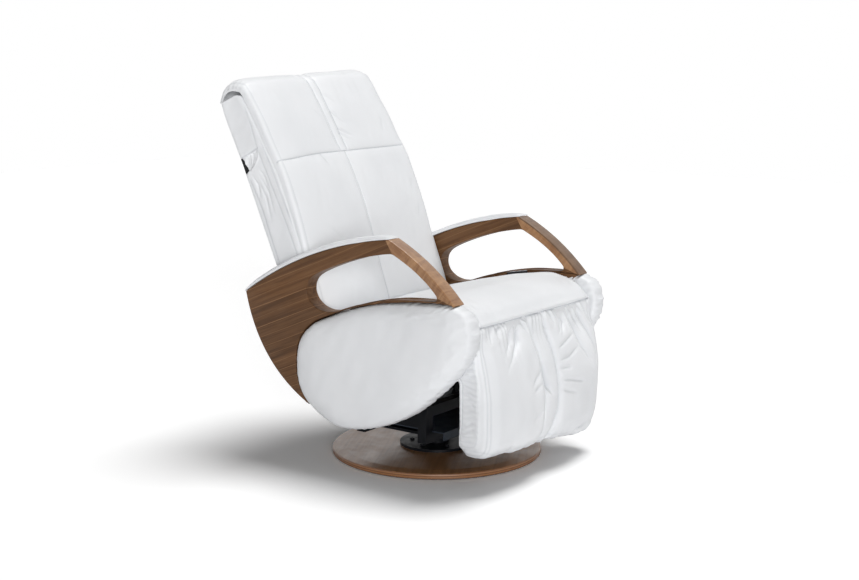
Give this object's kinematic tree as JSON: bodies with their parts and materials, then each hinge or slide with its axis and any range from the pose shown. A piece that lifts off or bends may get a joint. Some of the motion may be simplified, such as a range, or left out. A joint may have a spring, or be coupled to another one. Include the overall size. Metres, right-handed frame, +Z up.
{
  "type": "reclining massage armchair",
  "caption": "Reclining massage armchair with windowed wooden arms, a gathered padded leg rest and a round swivel base.",
  "frame": {"origin": "on the floor, on the swivel axis, at the centre of the felt mat's underside", "axes": "+Z up, -Y the way the chair faces, +X to the sitter's left"},
  "size_m": [0.77, 1.0001, 1.112],
  "materials": {
    "felt": "pressed felt",
    "base_wood": "layered wood with a lacquered walnut face and a lighter edge",
    "walnut": "satin lacquered walnut veneer",
    "walnut_light": "satin lacquered walnut veneer, cross figured",
    "plywood": "raw birch plywood",
    "leather_white": "soft white leather with fine grain",
    "steel_black": "black powder coat",
    "steel_grey": "grey powder coat",
    "steel_bright": "ground steel",
    "bronze": "sintered bronze",
    "plastic_black": "moulded black plastic",
    "plastic_ivory": "moulded acetal",
    "key_grey": "moulded keys"
  },
  "bodies": {
    "base": {"base_mat": "felt", "base_disc": "base_wood", "base_column": "steel_black", "base_bolts": "steel_bright", "swivel_bush": "plastic_ivory", "thrust_ring": "bronze"},
    "recline_key": {"key_recline": "key_grey"},
    "leg_rest_key": {"key_leg_rest": "key_grey"},
    "massage_key": {"key_massage": "key_grey"},
    "backrest": {"back_frame": "steel_grey", "back_hinge_pins": "steel_bright", "back_shell": "plastic_black", "back_body": "leather_white", "back_pad": "leather_white", "guide_rails": "steel_bright", "screw_motor": "plastic_black"},
    "screw": {"lead_screw": "steel_bright"},
    "massage_carriage": {"carriage": "steel_grey"},
    "right_arm_of_rollers": {"roller_arm_right": "plastic_ivory"},
    "left_arm_of_rollers": {"roller_arm_left": "plastic_ivory"},
    "right_upper_roller": {"roller_right_upper": "plastic_ivory"},
    "right_lower_roller": {"roller_right_lower": "plastic_ivory"},
    "left_upper_roller": {"roller_left_upper": "plastic_ivory"},
    "left_lower_roller": {"roller_left_lower": "plastic_ivory"},
    "legrest": {"leg_frame": "steel_grey", "leg_hinge_pins": "steel_bright", "leg_board": "plywood", "leg_cushion": "leather_white"},
    "back_rod": {"back_actuator_rod": "steel_bright"},
    "leg_rod": {"leg_actuator_rod": "steel_bright"},
    "chair": {"swivel_spindle": "steel_bright", "swivel_plate": "steel_black", "chassis_frame": "steel_black", "chassis_side_plates": "steel_black", "chassis_tray": "steel_grey", "control_box": "plastic_black", "mains_inlet": "plastic_black", "arm_bolts": "steel_bright", "seat_board": "plywood", "seat_cushion": "leather_white", "arm_right": "walnut", "arm_left": "walnut", "arm_facing_right": "walnut_light", "arm_facing_left": "walnut_light", "arm_pad_right": "leather_white", "arm_pad_left": "leather_white", "side_board_right": "plywood", "side_board_left": "plywood", "side_pad_right": "leather_white", "side_pad_left": "leather_white", "keypad_panel": "plastic_black", "back_actuator": "plastic_black", "leg_actuator": "plastic_black"}
  },
  "joints": [
    {"name": "chair_swivel", "type": "hinge", "parent": "base", "child": "chair", "pos_m": [0, 0, 0.06], "axis": [0, 0, 1], "continuous": true},
    {"name": "back_recline", "type": "hinge", "parent": "chair", "child": "backrest", "pos_m": [0, 0.185, 0.392], "axis": [-1, 0, 0], "range_deg": [0, 45]},
    {"name": "leg_rest_lift", "type": "hinge", "parent": "chair", "child": "legrest", "pos_m": [0, -0.328, 0.434], "axis": [-1, 0, 0], "range_deg": [0, 80]},
    {"name": "back_rod_slide", "type": "slide", "parent": "chair", "child": "back_rod", "axis": [0, -0.9063, -0.4226], "range_m": [0, 0.0577]},
    {"name": "leg_rod_slide", "type": "slide", "parent": "chair", "child": "leg_rod", "axis": [0, -0.9397, 0.342], "range_m": [0, 0.096]},
    {"name": "carriage_slide", "type": "slide", "parent": "backrest", "child": "massage_carriage", "axis": [0, 0.4003, 0.9164], "range_m": [0, 0.29]},
    {"name": "screw_turn", "type": "hinge", "parent": "backrest", "child": "screw", "pos_m": [0, 0.36558, 0.64049], "axis": [0, 0.4003, 0.9164], "range_deg": [0, 5221]},
    {"name": "right_arm_rock", "type": "hinge", "parent": "massage_carriage", "child": "right_arm_of_rollers", "pos_m": [0, 0.30629, 0.59218], "axis": [-1, 0, 0], "range_deg": [-5, 5]},
    {"name": "right_upper_roller_turn", "type": "hinge", "parent": "right_arm_of_rollers", "child": "right_upper_roller", "pos_m": [0, 0.31188, 0.63994], "axis": [-1, 0, 0], "continuous": true},
    {"name": "right_lower_roller_turn", "type": "hinge", "parent": "right_arm_of_rollers", "child": "right_lower_roller", "pos_m": [0, 0.27504, 0.55564], "axis": [-1, 0, 0], "continuous": true},
    {"name": "left_arm_rock", "type": "hinge", "parent": "massage_carriage", "child": "left_arm_of_rollers", "pos_m": [0, 0.30629, 0.59218], "axis": [-1, 0, 0], "range_deg": [-5, 5]},
    {"name": "left_upper_roller_turn", "type": "hinge", "parent": "left_arm_of_rollers", "child": "left_upper_roller", "pos_m": [0, 0.31188, 0.63994], "axis": [-1, 0, 0], "continuous": true},
    {"name": "left_lower_roller_turn", "type": "hinge", "parent": "left_arm_of_rollers", "child": "left_lower_roller", "pos_m": [0, 0.27504, 0.55564], "axis": [-1, 0, 0], "continuous": true},
    {"name": "recline_key_press", "type": "slide", "parent": "chair", "child": "recline_key", "axis": [0, -0.1564, -0.9877], "range_m": [0, 0.0012], "stiffness_N_per_m": 800, "springref_m": -0.0005},
    {"name": "leg_rest_key_press", "type": "slide", "parent": "chair", "child": "leg_rest_key", "axis": [0, -0.1564, -0.9877], "range_m": [0, 0.0012], "stiffness_N_per_m": 800, "springref_m": -0.0005},
    {"name": "massage_key_press", "type": "slide", "parent": "chair", "child": "massage_key", "axis": [0, -0.1564, -0.9877], "range_m": [0, 0.0012], "stiffness_N_per_m": 800, "springref_m": -0.0005}
  ],
  "couplings": [
    {"joint": "back_rod_slide", "follows": "back_recline", "m_per_rad": 0.0728},
    {"joint": "leg_rod_slide", "follows": "leg_rest_lift", "m_per_rad": 0.0684},
    {"joint": "screw_turn", "follows": "carriage_slide", "rad_per_m": 314.16}
  ]
}
